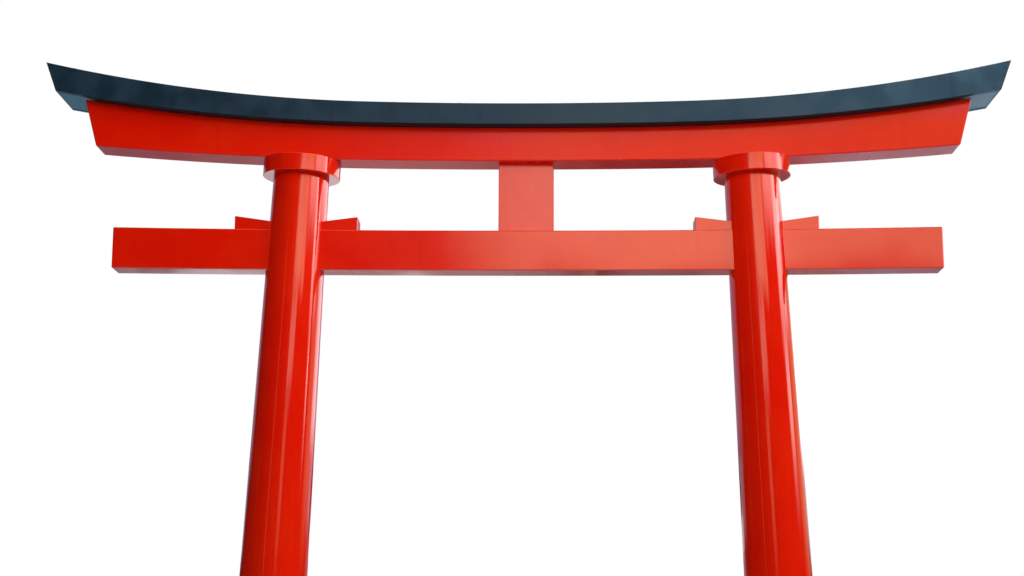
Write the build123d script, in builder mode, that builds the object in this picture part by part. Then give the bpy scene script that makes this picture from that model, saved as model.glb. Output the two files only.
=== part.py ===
from build123d import *
from math import cos, hypot, radians, sin, sqrt, tan
import os

# A torii gate of painted timber, with a sheet covered upper lintel.
# Millimetres. X runs along the beams and Z up. The way through is along Y, and the front is at -Y.
# The origin lies on the ground, midway between the pillars.

# Base stones
stone_radius = 650
stone_height = 260
stone_skirt_height = 80
stone_seat_radius = 490

# Pillars
pillar_spacing = 6384  # between the two axes, at the ground
pillar_lean = 2.45  # degrees, towards the middle of the gate
pillar_foot_radius = 439  # at the ground
pillar_head_radius = 357  # at the shoulder
pillar_shoulder_height = 6841  # up to the capital ring, on the axis
pillar_neck_drop = 60  # the neck, which holds the mortise, starts this far below the tie beam
pillar_shaft_spans = 4

# Sleeve and hoop round each pillar's foot
wrap_height = 900  # along the pillar, above the stone
wrap_thickness = 28
band_height = 70
band_thickness = 6
band_drop = 60  # below the wrap's top edge

# Capital rings
ring_radius = 495
ring_height = 216
ring_seat_depth = 7  # how far the lower lintel is let into the ring, on the pillar's axis

# Tie beam
tie_beam_length = 10537
tie_beam_height = 518  # in the middle
tie_beam_depth = 366
tie_beam_camber = 34  # the ends lie this much above the middle
tie_beam_end_gain = 14  # the ends are this much taller than the middle
tie_beam_chamfer = 12

# Wedges, measured from the pillar's axis outwards
wedge_length = 785
wedge_depth = 342  # set back, so that the tie beam's chamfers show along the wedges
wedge_head_height = 170
wedge_tip_height = 64
wedge_chamfer = 6

# Centre strut
strut_height = 900  # from the tie beam to the lower lintel
strut_width = 706
strut_depth = 165
strut_chamfer = 8

# Lower lintel
lower_lintel_length = 11055  # along the underside
lower_lintel_height = 433  # in the middle
lower_lintel_depth = 461
lower_lintel_end_flare = 163  # each end leans out by this much
lower_lintel_bend_x = 1790  # where the flat middle arc meets the rounder end arc
lower_lintel_bend_rise = 12
lower_lintel_end_rise = 206
lower_lintel_chamfer = 12

# Upper lintel, over its sheet
upper_lintel_length = 12053  # along the underside
upper_lintel_depth = 888
upper_lintel_edge_height = 272  # of the upright edge, in the middle
upper_lintel_edge_gain = 83  # the edge is this much taller at the ends
upper_lintel_end_flare = 140
upper_lintel_bend_x = 2080
upper_lintel_bend_rise = 26
upper_lintel_end_rise = 448
upper_lintel_ridge_rise = 90  # from the upright edges to the ridge

# Sheet metal on the upper lintel
sheet_thickness = 4
sheet_hem_width = 90  # turned in under the lintel
middle_sheet_length = 1700

# Joinery inside
fit_clearance = 0.3
tenon_end_gap = 5
head_tenon_width = 260
head_tenon_depth = 180
head_tenon_entry = 214  # into the lower lintel, above the ring
strut_tenon_width = 300
strut_tenon_depth = 60
strut_tenon_length = 110
foot_tenon_width = 160
foot_tenon_length = 120

outline_margin = 400  # how far a tool or an uncut outline runs past the finished piece

sides = {"left": -1, "right": 1}
stand_on = (Align.CENTER, Align.CENTER, Align.MIN)
lean_angle = radians(pillar_lean)


class Sweep:
    """Curve of the front view: a flat arc in the middle, and a rounder arc tangent to it on each side."""

    def __init__(self, middle_height, bend_x, bend_rise, end_x, end_rise):
        self.middle_height = middle_height
        self.bend_x = bend_x
        self.flat_radius = (bend_x**2 + bend_rise**2) / (2 * bend_rise)
        # The end arc's centre lies on the line from the bend to the flat arc's centre
        inward_x = -bend_x / self.flat_radius
        inward_z = 1 - bend_rise / self.flat_radius
        run = end_x - bend_x
        climb = end_rise - bend_rise
        self.end_radius = (run**2 + climb**2) / (2 * (run * inward_x + climb * inward_z))
        self.end_centre_x = bend_x + self.end_radius * inward_x
        self.end_centre_rise = bend_rise + self.end_radius * inward_z

    def height(self, x):
        """Height of the curve above the ground at x."""
        if abs(x) <= self.bend_x:
            return self.middle_height + self.flat_radius - sqrt(self.flat_radius**2 - x**2)
        drop = sqrt(self.end_radius**2 - (abs(x) - self.end_centre_x) ** 2)
        return self.middle_height + self.end_centre_rise - drop

    def draw(self, reach, lift):
        """Draws the arcs from x = -reach to x = reach, raised by lift."""
        stations = [-reach, -self.bend_x, self.bend_x, reach]
        for start, finish in zip(stations, stations[1:]):
            ThreePointArc(*[(x, self.height(x) + lift) for x in (start, (start + finish) / 2, finish)])


def section_plane(side, distance, share=1):
    """Plane across a pillar's axis, at a distance up it: level when share is 0, square to it when 1."""
    turn = lean_angle * share
    centre_x = side * (pillar_spacing / 2 - distance * sin(lean_angle))
    return Plane(
        (centre_x, 0, distance * cos(lean_angle)),
        x_dir=(cos(turn), 0, side * sin(turn)),
        z_dir=(-side * sin(turn), 0, cos(turn)),
    )


def level_plane(side, height):
    """Level plane with its origin on a pillar's axis."""
    return section_plane(side, height / cos(lean_angle), share=0)


def pillar_axis_x(height):
    """Distance of a pillar's axis from the middle of the gate, at a height."""
    return pillar_spacing / 2 - height * tan(lean_angle)


# Distances up a pillar's axis, from the ground
stone_distance = stone_height / cos(lean_angle)
wrap_distance = stone_distance + wrap_height
shoulder_distance = pillar_shoulder_height / cos(lean_angle)


def pillar_radius(distance):
    """Radius of the tapering pillar at a distance up its axis."""
    return pillar_foot_radius + (pillar_head_radius - pillar_foot_radius) * distance / shoulder_distance


# The lower lintel is let into the rings, and the tie beam hangs one strut below it
lower_lintel_curve = (
    lower_lintel_bend_x,
    lower_lintel_bend_rise,
    lower_lintel_length / 2,
    lower_lintel_end_rise,
)
ring_seat_height = pillar_shoulder_height + ring_height * cos(lean_angle) - ring_seat_depth
rise_at_ring = Sweep(0, *lower_lintel_curve).height(pillar_axis_x(ring_seat_height))
lower_lintel_underside = ring_seat_height - rise_at_ring
hem_underside = lower_lintel_underside + lower_lintel_height - sheet_thickness
tie_beam_underside = lower_lintel_underside - strut_height - tie_beam_height

lower_sweep = Sweep(lower_lintel_underside, *lower_lintel_curve)
hem_sweep = Sweep(
    hem_underside,
    upper_lintel_bend_x,
    upper_lintel_bend_rise,
    upper_lintel_length / 2,
    upper_lintel_end_rise,
)

# The top of the upper lintel's upright edges bends more than the underside, by its gain in height
edge_end_x = upper_lintel_length / 2 + upper_lintel_end_flare
edge_end_rise = hem_sweep.height(edge_end_x) - hem_underside + upper_lintel_edge_gain
edge_sweep = Sweep(
    hem_underside + upper_lintel_edge_height,
    upper_lintel_bend_x,
    upper_lintel_bend_rise * (1 + upper_lintel_edge_gain / upper_lintel_end_rise),
    edge_end_x,
    edge_end_rise,
)


def tie_beam_top(x):
    """Height of the tie beam's top at x. Its flat arc is drawn as a parabola."""
    gain = tie_beam_camber + tie_beam_end_gain
    return tie_beam_underside + tie_beam_height + gain * (2 * x / tie_beam_length) ** 2


def band_outline(low, low_lift, high, high_lift, reach, half_depth=0):
    """Face between two sweeps, each raised by its lift, at y = -half_depth."""
    with BuildSketch(Plane.XZ.offset(half_depth)) as outline:
        with BuildLine():
            low.draw(reach, low_lift)
            high.draw(reach, high_lift)
            for x in (-reach, reach):
                Line((x, low.height(x) + low_lift), (x, high.height(x) + high_lift))
        make_face()
    return outline.sketch


def end_plane(side, foot_x, foot_z, head_x, head_z, inset=0):
    """Slanted plane of a lintel's end, facing out, through the foot and the head of the end."""
    slant = hypot(head_x - foot_x, head_z - foot_z)
    outward = Vector(side * (head_z - foot_z), 0, foot_x - head_x) / slant
    return Plane(Vector(side * foot_x, 0, foot_z) - outward * inset, z_dir=outward)


def lower_end_plane(side):
    foot_x = lower_lintel_length / 2
    head_x = foot_x + lower_lintel_end_flare
    return end_plane(side, foot_x, lower_sweep.height(foot_x), head_x, hem_sweep.height(head_x))


def upper_end_plane(side, inset):
    foot_x = upper_lintel_length / 2
    head_z = edge_sweep.height(edge_end_x)
    return end_plane(side, foot_x, hem_sweep.height(foot_x), edge_end_x, head_z, inset)


def tie_beam_outline(half_depth):
    """Front view of the tie beam at y = -half_depth: two shallow arcs between upright ends."""
    half_length = tie_beam_length / 2
    end_low = tie_beam_underside + tie_beam_camber
    end_high = tie_beam_top(half_length)
    with BuildSketch(Plane.XZ.offset(half_depth)) as outline:
        with BuildLine():
            ThreePointArc((-half_length, end_low), (0, tie_beam_underside), (half_length, end_low))
            Line((half_length, end_low), (half_length, end_high))
            ThreePointArc((half_length, end_high), (0, tie_beam_top(0)), (-half_length, end_high))
            Line((-half_length, end_high), (-half_length, end_low))
        make_face()
    return outline.sketch


def wedge_outline(side, way, half_depth, sink=0):
    """Front view of a wedge at y = -half_depth. way is 1 for the outer wedge and -1 for the inner one."""
    tip_x = side * pillar_axis_x(tie_beam_top(0))
    head_x = tip_x + side * way * wedge_length
    tip_z = tie_beam_top(tip_x)
    head_z = tie_beam_top(head_x)
    with BuildSketch(Plane.XZ.offset(half_depth)) as outline:
        with BuildLine():
            Polyline(
                (tip_x, tip_z - sink),
                (head_x, head_z - sink),
                (head_x, head_z + wedge_head_height),
                (tip_x, tip_z + wedge_tip_height),
                close=True,
            )
        make_face()
    return outline.sketch


def make_tenon(plane, width, depth, length, allowance=0, end_gap=0):
    """Square-cut tenon that stands on a plane, or with allowances the hole for it."""
    with BuildPart() as tenon:
        with BuildSketch(plane):
            Rectangle(width + 2 * allowance, depth + 2 * allowance)
        extrude(amount=length + end_gap)
    return tenon.part


def head_tenon(side, allowance=0, end_gap=0):
    """Tenon on a pillar's head, through the ring and into the lower lintel."""
    plane = section_plane(side, shoulder_distance)
    length = ring_height + head_tenon_entry
    return make_tenon(plane, head_tenon_width, head_tenon_depth, length, allowance, end_gap)


def foot_tenon(side, allowance=0, end_gap=0):
    """Tenon under a pillar's foot, down into the stone."""
    plane = level_plane(side, stone_height - foot_tenon_length - end_gap)
    return make_tenon(plane, foot_tenon_width, foot_tenon_width, foot_tenon_length, allowance, end_gap)


def strut_tongue(allowance=0, end_gap=0):
    """Board through the strut whose two ends are its tenons."""
    plane = Plane.XY.offset(tie_beam_top(0) - strut_tenon_length - end_gap)
    length = strut_height + 2 * strut_tenon_length
    return make_tenon(plane, strut_tenon_width, strut_tenon_depth, length, allowance, 2 * end_gap)


def make_base_stone(side):
    """Low round stone with an upright skirt and a sloping shoulder."""
    shoulder_height = stone_height - stone_skirt_height
    with BuildPart() as stone:
        with Locations((side * pillar_spacing / 2, 0, 0)):
            Cylinder(stone_radius, stone_height, align=stand_on)
        rim = stone.faces().sort_by(Axis.Z)[-1]
        chamfer(rim.edges(), length=stone_radius - stone_seat_radius, length2=shoulder_height, reference=rim)
        add(foot_tenon(side, fit_clearance, tenon_end_gap), mode=Mode.SUBTRACT)
    return stone.part


def make_pillar(side):
    """Leaning, tapering pillar: a shaft, a neck with the mortise for beam and wedges, and tenons."""
    neck_distance = (tie_beam_underside - pillar_neck_drop) / cos(lean_angle)
    beam_half_depth = tie_beam_depth / 2 + fit_clearance
    wedge_half_depth = wedge_depth / 2 + fit_clearance
    sink = tie_beam_height / 2
    openings = (
        (tie_beam_outline(beam_half_depth), beam_half_depth),
        (wedge_outline(side, 1, wedge_half_depth, sink), wedge_half_depth),
        (wedge_outline(side, -1, wedge_half_depth, sink), wedge_half_depth),
    )
    with BuildPart() as pillar:
        for i in range(pillar_shaft_spans + 1):
            share = i / pillar_shaft_spans
            distance = stone_distance + (neck_distance - stone_distance) * share
            with BuildSketch(section_plane(side, distance, share)):
                Circle(pillar_radius(distance))
        loft(ruled=True)
        with Locations(section_plane(side, neck_distance)):
            neck_length = shoulder_distance - neck_distance
            Cone(pillar_radius(neck_distance), pillar_head_radius, neck_length, align=stand_on)
        for opening, half_depth in openings:
            extrude(opening, amount=-2 * half_depth, mode=Mode.SUBTRACT)
        add(head_tenon(side))
        add(foot_tenon(side))
    return pillar.part


def make_root_wrap(side):
    """Sleeve of boards round the pillar's foot, level on the stone and square to the pillar at its top."""
    with BuildPart() as wrap:
        for thickness, mode in ((wrap_thickness, Mode.ADD), (0, Mode.SUBTRACT)):
            for distance, share in ((stone_distance, 0), (wrap_distance, 1)):
                with BuildSketch(section_plane(side, distance, share)):
                    Circle(pillar_radius(distance) + fit_clearance + thickness)
            loft(ruled=True, mode=mode)
    return wrap.part


def make_root_band(side):
    """Straight hoop round the sleeve, near its top."""
    bottom_distance = wrap_distance - band_drop - band_height
    bore = pillar_radius(bottom_distance) + wrap_thickness + 2 * fit_clearance
    with BuildPart() as band:
        with BuildSketch(section_plane(side, bottom_distance)):
            Circle(bore + band_thickness)
            Circle(bore, mode=Mode.SUBTRACT)
        extrude(amount=band_height)
    return band.part


def make_capital_ring(side, lintel):
    """Round block on the pillar's shoulder, bored for the tenon, with the lower lintel let into it."""
    with BuildPart() as ring:
        with BuildSketch(section_plane(side, shoulder_distance)):
            Circle(ring_radius)
        extrude(amount=ring_height)
        add(head_tenon(side, fit_clearance), mode=Mode.SUBTRACT)
        add(lintel, mode=Mode.SUBTRACT)
    return ring.part


def make_tie_beam():
    """Tie beam with chamfered edges and the mortise for the strut."""
    with BuildPart() as beam:
        extrude(tie_beam_outline(tie_beam_depth / 2), amount=-tie_beam_depth)
        chamfer(beam.faces().filter_by(Axis.X).edges(), length=tie_beam_chamfer)
        long_edges = beam.faces().filter_by(Axis.Y).edges().filter_by(GeomType.CIRCLE)
        chamfer(long_edges, length=tie_beam_chamfer)
        add(strut_tongue(fit_clearance, tenon_end_gap), mode=Mode.SUBTRACT)
    return beam.part


def make_wedge(side, way):
    """Wedge on the flat of the tie beam's top, tapering into the pillar."""
    with BuildPart() as wedge:
        extrude(wedge_outline(side, way, wedge_depth / 2), amount=-wedge_depth)
        head = wedge.faces().sort_by(Axis.X)[-1 if side * way > 0 else 0]
        upright_and_top = head.edges().sort_by(Axis.Z)[1:]
        chamfer(upright_and_top, length=wedge_chamfer)
    return wedge.part


def make_centre_strut(beam, lintel):
    """Wide board from the tie beam to the lower lintel, cut to both, with a tenon at each end."""
    foot = tie_beam_top(0) - tie_beam_chamfer
    head = lower_lintel_underside + lower_lintel_chamfer
    with BuildPart() as strut:
        with BuildSketch(Plane.XY.offset(foot)):
            Rectangle(strut_width, strut_depth)
        extrude(amount=head - foot)
        chamfer(strut.edges().filter_by(Axis.Z), length=strut_chamfer)
        add(beam, mode=Mode.SUBTRACT)
        add(lintel, mode=Mode.SUBTRACT)
        add(strut_tongue())
    return strut.part


def make_plain_lintel():
    """Lower lintel without its mortises: swept up, slanted at the ends, and chamfered but for its top."""
    reach = lower_lintel_length / 2 + lower_lintel_end_flare + outline_margin
    outline = band_outline(lower_sweep, 0, hem_sweep, sheet_thickness, reach, lower_lintel_depth / 2)
    with BuildPart() as lintel:
        extrude(outline, amount=-lower_lintel_depth)
        for side in sides.values():
            split(bisect_by=lower_end_plane(side), keep=Keep.BOTTOM)
        front_and_back = lintel.faces().filter_by(Axis.Y).edges()
        under_hem = front_and_back.filter_by(lambda edge: (edge @ 0.5).Z < hem_sweep.height((edge @ 0.5).X))
        ends = (lintel.faces().sort_by(Axis.X)[0], lintel.faces().sort_by(Axis.X)[-1])
        end_feet = [end.edges().sort_by(Axis.Z)[0] for end in ends]
        chamfer(under_hem + end_feet, length=lower_lintel_chamfer)
    return lintel.part


def cut_mortises(lintel):
    """Lower lintel with its mortises for the two pillars and the strut."""
    with BuildPart() as cut:
        add(lintel)
        for side in sides.values():
            add(head_tenon(side, fit_clearance, tenon_end_gap), mode=Mode.SUBTRACT)
        add(strut_tongue(fit_clearance, tenon_end_gap), mode=Mode.SUBTRACT)
    return cut.part


def upper_lintel_form(inset):
    """Upper lintel's form: its outside when inset is 0, its timber when inset is the sheet."""
    reach = edge_end_x + outline_margin
    half_depth = upper_lintel_depth / 2
    pitch = upper_lintel_ridge_rise / half_depth
    ridge_lift = upper_lintel_ridge_rise - inset
    body = band_outline(hem_sweep, inset, edge_sweep, ridge_lift, reach, half_depth - inset)
    above_ridge = band_outline(edge_sweep, ridge_lift, edge_sweep, ridge_lift + outline_margin, reach)
    with BuildPart() as form:
        extrude(body, amount=2 * (inset - half_depth))
        for way in (-1, 1):
            extrude(above_ridge, amount=upper_lintel_depth, dir=(0, way, -pitch), mode=Mode.SUBTRACT)
        for side in sides.values():
            split(bisect_by=upper_end_plane(side, inset), keep=Keep.BOTTOM)
    return form.part


def make_sheet_metal():
    """All of the sheet on the upper lintel, open below between its hems."""
    reach = upper_lintel_length / 2 - sheet_hem_width
    open_half_depth = upper_lintel_depth / 2 - sheet_hem_width
    opening = band_outline(hem_sweep, -outline_margin, hem_sweep, 2 * sheet_thickness, reach, open_half_depth)
    with BuildPart() as metal:
        add(upper_lintel_form(0))
        add(upper_lintel_form(sheet_thickness), mode=Mode.SUBTRACT)
        extrude(opening, amount=-2 * open_half_depth, mode=Mode.SUBTRACT)
    return metal.part


def make_end_plate(metal, side):
    """The sheet on one slanted end."""
    with BuildPart() as plate:
        add(metal)
        split(bisect_by=upper_end_plane(side, sheet_thickness), keep=Keep.TOP)
    return plate.part


def make_cover_sheet(metal, name):
    """One length of the sheet that is folded over the lintel: left, middle or right."""
    seam = middle_sheet_length / 2
    with BuildPart() as sheet:
        add(metal)
        if name == "middle":
            split(bisect_by=Plane.YZ.offset(seam), keep=Keep.BOTTOM)
            split(bisect_by=Plane.YZ.offset(-seam), keep=Keep.TOP)
        else:
            side = sides[name]
            split(bisect_by=Plane.YZ.offset(side * seam), keep=Keep.TOP if side > 0 else Keep.BOTTOM)
            split(bisect_by=upper_end_plane(side, sheet_thickness), keep=Keep.BOTTOM)
    return sheet.part


def write_piece(piece, name):
    piece.label = name
    export_step(piece, f"parts/{name}.step")


os.makedirs("parts", exist_ok=True)

plain_lintel = make_plain_lintel()
tie_beam = make_tie_beam()
sheet_metal = make_sheet_metal()

write_piece(tie_beam, "tie_beam")
write_piece(cut_mortises(plain_lintel), "lower_lintel")
write_piece(make_centre_strut(tie_beam, plain_lintel), "centre_strut")
write_piece(upper_lintel_form(sheet_thickness), "upper_lintel")
write_piece(make_cover_sheet(sheet_metal, "middle"), "cover_sheet_middle")

for name, side in sides.items():
    write_piece(make_base_stone(side), f"base_stone_{name}")
    write_piece(make_pillar(side), f"pillar_{name}")
    write_piece(make_root_wrap(side), f"root_wrap_{name}")
    write_piece(make_root_band(side), f"root_band_{name}")
    write_piece(make_capital_ring(side, plain_lintel), f"capital_ring_{name}")
    write_piece(make_wedge(side, 1), f"wedge_{name}_outer")
    write_piece(make_wedge(side, -1), f"wedge_{name}_inner")
    write_piece(make_cover_sheet(sheet_metal, name), f"cover_sheet_{name}")
    write_piece(make_end_plate(sheet_metal, side), f"end_plate_{name}")
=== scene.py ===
"""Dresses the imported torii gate: gloss paint, sheet cover, staved foot sleeves and stones."""

import logging
from collections.abc import Iterable
from dataclasses import dataclass, fields
from enum import Enum
from math import cos, hypot, pi, radians, sin, sqrt

import bmesh
import bpy
from bmesh.types import BMEdge, BMesh, BMFace, BMVert
from bpy.types import Material, Node, NodeTree, Object, World
from bpy.types import NodeSocket as Socket
from bpy.types import bpy_prop_collection as Sockets
from mathutils import Matrix, Vector, noise


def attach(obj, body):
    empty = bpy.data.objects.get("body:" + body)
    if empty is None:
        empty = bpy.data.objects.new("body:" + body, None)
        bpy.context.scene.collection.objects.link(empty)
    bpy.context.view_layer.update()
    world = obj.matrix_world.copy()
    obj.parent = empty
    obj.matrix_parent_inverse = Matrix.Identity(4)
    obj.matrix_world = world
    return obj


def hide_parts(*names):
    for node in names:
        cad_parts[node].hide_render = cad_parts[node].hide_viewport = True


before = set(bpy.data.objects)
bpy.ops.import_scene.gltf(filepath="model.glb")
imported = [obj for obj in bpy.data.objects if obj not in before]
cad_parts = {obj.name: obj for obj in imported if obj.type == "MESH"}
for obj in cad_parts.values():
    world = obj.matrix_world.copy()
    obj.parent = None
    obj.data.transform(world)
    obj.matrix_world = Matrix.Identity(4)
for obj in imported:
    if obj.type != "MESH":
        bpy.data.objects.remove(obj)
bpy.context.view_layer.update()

log = logging.getLogger("torii")

Colour = tuple[float, float, float]
Span = tuple[float, float]
Inputs = dict[int | str, object]
Parts = list[BMVert | BMEdge | BMFace]

SIDES = ((-1, "left"), (1, "right"))
ORIGIN = (0, 0, 0)
UP = (0, 0, 1)
NEAR = 1e-6  # metres, less than any real step of a mesh
SAME = 1e-5  # metres, within which doubled vertices of a turned mesh lie
SHARP_CREASE = 60  # degrees, for the edges of blocks and boards
SHEET_CREASE = 4  # degrees, so that the low ridge counts as a fold too
TURNED_SHARP = 50  # degrees, so that the facets of turned rims shade as one round


class Slot(Enum):
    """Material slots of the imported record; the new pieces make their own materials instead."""

    VERMILION = "vermilion_paint"
    SHEET = "dark_sheet"
    LACQUER = "black_lacquer"
    HOOP = "band_metal"
    STONE = "stone"


class Grain(Enum):
    """Way in which the boards of a piece run, as the scale of a streak pattern along x, y and z."""

    UPRIGHT = (14.0, 14.0, 0.7)
    ALONG_X = (0.7, 14.0, 14.0)


def linear(red: int, green: int, blue: int) -> Colour:
    """Turns an 8-bit screen colour into the linear colour that shaders take.

    Args:
        red: Red from 0 to 255.
        green: Green from 0 to 255.
        blue: Blue from 0 to 255.

    Returns:
        The linear colour.
    """
    channels = (value / 255 for value in (red, green, blue))
    return tuple(c / 12.92 if c <= 0.04045 else ((c + 0.055) / 1.055) ** 2.4 for c in channels)


class Graph:
    """Short calls that add and join the nodes of one tree."""

    def __init__(self, tree: NodeTree) -> None:
        """Takes the tree that the nodes go into."""
        self.tree = tree

    def add(self, kind: str, **settings: object) -> Node:
        """Adds a node.

        Args:
            kind: Type of the node, without its ShaderNode prefix.
            settings: Properties to set on it.

        Returns:
            The node.
        """
        node = self.tree.nodes.new("ShaderNode" + kind)
        for name, value in settings.items():
            setattr(node, name, value)
        return node

    def feed(self, socket: Socket, value: object) -> None:
        """Joins a socket to another one, or sets it to a constant.

        Args:
            socket: The socket.
            value: The other socket, or the constant.
        """
        if isinstance(value, Socket):
            self.tree.links.new(value, socket)
        elif socket.type == "RGBA" and len(value) == 3:
            socket.default_value = (*value, 1.0)
        else:
            socket.default_value = value

    def fill(self, node: Node, **values: object) -> None:
        """Feeds a node's inputs by name, with underscores for spaces."""
        for name, value in values.items():
            self.feed(node.inputs[name.replace("_", " ")], value)

    def made(self, kind: str, inputs: Inputs, output: int | str = 0, **settings: object) -> Socket:
        """Adds a node and feeds its inputs.

        Args:
            kind: Type of the node, without its ShaderNode prefix.
            inputs: What its inputs get, by number or name.
            output: The output that is wanted, by number or name.
            settings: Properties to set on it.

        Returns:
            The output.
        """
        node = self.add(kind, **settings)
        for key, value in inputs.items():
            self.feed(node.inputs[key], value)
        return node.outputs[output]

    def use(self, group: NodeTree, **values: object) -> dict[str, Socket]:
        """Places a shared group.

        Args:
            group: The group.
            values: Its inputs by name, with underscores for spaces.

        Returns:
            Its outputs by name.
        """
        node = self.add("Group", node_tree=group)
        self.fill(node, **values)
        return {socket.name: socket for socket in node.outputs}

    def place(self) -> Socket:
        """Position on the piece, in metres."""
        return self.made("TexCoord", {}, "Object")

    def upward(self) -> Socket:
        """How far a face looks up, from -1 to 1."""
        return self.part(self.made("NewGeometry", {}, "Normal"), "Z")

    def part(self, vector: Socket, axis: str) -> Socket:
        """One coordinate of a vector, named X, Y or Z."""
        return self.made("SeparateXYZ", {0: vector}, axis)

    def stretch(self, vector: Socket, scale: Colour, turn: Colour = (0, 0, 0)) -> Socket:
        """A position turned by angles in radians, and then scaled along x, y and z."""
        turned = self.made("Mapping", {"Vector": vector, "Rotation": turn}, vector_type="POINT")
        return self.made("Mapping", {"Vector": turned, "Scale": scale}, vector_type="POINT")

    def noise(self, vector: Socket, scale: object, detail: float = 3, roughness: float = 0.5) -> Socket:
        """Cloudy pattern from 0 to 1, by waves to the metre and its finer layers' number and strength."""
        values = {"Vector": vector, "Scale": scale, "Detail": detail, "Roughness": roughness}
        return self.made("TexNoise", values)

    def remap(self, value: Socket, low: float, high: float, start: float = 0, end: float = 1) -> Socket:
        """A value from the range of low to high, moved smoothly to that of start to end, and clamped."""
        values = {"Value": value, "From Min": low, "From Max": high, "To Min": start, "To Max": end}
        return self.made("MapRange", values, interpolation_type="SMOOTHSTEP")

    def calc(self, operation: str, first: object, second: object = 0.0) -> Socket:
        """Result of an operation on values, such as SUBTRACT."""
        return self.made("Math", {0: first, 1: second}, operation=operation)

    def times(self, first: object, second: object) -> Socket:
        """Product of two values."""
        return self.calc("MULTIPLY", first, second)

    def plus(self, first: object, second: object) -> Socket:
        """Sum of two values."""
        return self.calc("ADD", first, second)

    def vector(self, operation: str, first: object, second: object) -> Socket:
        """Result of an operation on vectors, such as MAXIMUM."""
        return self.made("VectorMath", {0: first, 1: second}, operation=operation)

    def blend(self, share: object, first: object, second: object) -> Socket:
        """Blend of two colours, by the share that the second one has."""
        return self.made("Mix", {0: share, 6: first, 7: second}, 2, data_type="RGBA", blend_type="MIX")

    def bump(self, height: Socket, depth: float, normal: Socket | None = None) -> Socket:
        """Normal of a pattern of heights, by its depth in metres and the normal that it lies on."""
        values = {"Height": height, "Strength": 1.0, "Distance": depth}
        return self.made("Bump", values if normal is None else {**values, "Normal": normal})


def bare_graph(owner: Material | World) -> Graph:
    """Empties the node tree of a material or a world.

    Args:
        owner: What has the tree.

    Returns:
        The graph to build in.
    """
    owner.use_nodes = True
    owner.node_tree.nodes.clear()
    return Graph(owner.node_tree)


def open_group(name: str, inputs: dict[str, str], outputs: tuple[str, ...]) -> tuple[Graph, dict, Sockets]:
    """Starts a node group.

    Args:
        name: Name of the group.
        inputs: Its inputs and the type of each.
        outputs: Its outputs, all plain values.

    Returns:
        The graph to build in, its input sockets by name, and its output node's sockets.
    """
    tree = bpy.data.node_groups.new(name, "ShaderNodeTree")
    for label, kind in inputs.items():
        tree.interface.new_socket(label, in_out="INPUT", socket_type="NodeSocket" + kind)
    for label in outputs:
        tree.interface.new_socket(label, in_out="OUTPUT", socket_type="NodeSocketFloat")
    entry = tree.nodes.new("NodeGroupInput")
    leave = tree.nodes.new("NodeGroupOutput")
    return Graph(tree), {socket.name: socket for socket in entry.outputs}, leave.inputs


class Effects:
    """Shader effects that several finishes share, each built once as a node group."""

    def __init__(self) -> None:
        """Builds the groups."""
        self.streaks = self._streaks()
        self.mottle = self._mottle()
        self.runs = self._runs()
        self.settled = self._settled()

    @staticmethod
    def _streaks() -> NodeTree:
        """Long streaks of wood grain and brush marks, on a position that is already stretched.

        Returns:
            The group.
        """
        graph, given, out = open_group("Streaks", {"Vector": "Vector"}, ("Grain", "Brush"))
        broad = graph.noise(given["Vector"], scale=1.6, detail=4, roughness=0.6)
        fine = graph.noise(given["Vector"], scale=7.0, detail=3, roughness=0.55)
        graph.feed(out["Grain"], graph.plus(graph.times(broad, 0.6), graph.times(fine, 0.4)))
        graph.feed(out["Brush"], graph.noise(given["Vector"], scale=22.0, detail=2, roughness=0.5))
        return graph.tree

    @staticmethod
    def _mottle() -> NodeTree:
        """Soft blotches, and the low waves of a hand-finished surface.

        Returns:
            The group.
        """
        inputs = {"Vector": "Vector", "Scale": "Float"}
        graph, given, out = open_group("Mottle", inputs, ("Blotch", "Wave"))
        blotch = graph.noise(given["Vector"], given["Scale"], detail=5, roughness=0.55)
        graph.feed(out["Blotch"], graph.remap(blotch, low=0.34, high=0.66))
        broader = graph.times(given["Scale"], 0.7)
        graph.feed(out["Wave"], graph.noise(given["Vector"], broader, detail=1, roughness=0.4))
        return graph.tree

    @staticmethod
    def _runs() -> NodeTree:
        """Marks that water leaves as it runs down a face.

        Returns:
            The group.
        """
        graph, given, out = open_group("Water runs", {"Vector": "Vector"}, ("Mask",))
        tall = graph.stretch(given["Vector"], (9.0, 9.0, 0.55))
        lines = graph.remap(graph.noise(tall, scale=1.3, detail=5, roughness=0.62), low=0.5, high=0.72)
        gaps = graph.noise(given["Vector"], scale=1.1, detail=3, roughness=0.5)
        graph.feed(out["Mask"], graph.times(lines, graph.remap(gaps, low=0.38, high=0.62)))
        return graph.tree

    @staticmethod
    def _settled() -> NodeTree:
        """Faces that look up, where dust and sun settle, with a ragged edge.

        Returns:
            The group.
        """
        graph, given, out = open_group("Settled", {"Vector": "Vector"}, ("Mask",))
        cloudy = graph.noise(given["Vector"], scale=9.0, detail=4, roughness=0.6)
        ragged = graph.times(graph.calc("SUBTRACT", cloudy, 0.5), 0.5)
        graph.feed(out["Mask"], graph.remap(graph.plus(graph.upward(), ragged), low=0.35, high=0.9))
        return graph.tree


@dataclass(frozen=True)
class Finish:
    """What every finish has: a name, and the groups that it draws on.

    A span is the part of a pattern's range over which a mark comes in, or over which roughness changes
    from the first of its two values to the second.
    """

    name: str
    effects: Effects

    def start(self) -> tuple[Material, Graph, Node, Socket]:
        """Starts the material.

        Returns:
            The material, its graph, its shader and the position on the piece.
        """
        material = bpy.data.materials.new(self.name)
        graph = bare_graph(material)
        shader = graph.add("BsdfPrincipled")
        graph.fill(graph.add("OutputMaterial"), Surface=shader.outputs[0])
        return material, graph, shader, graph.place()


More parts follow.
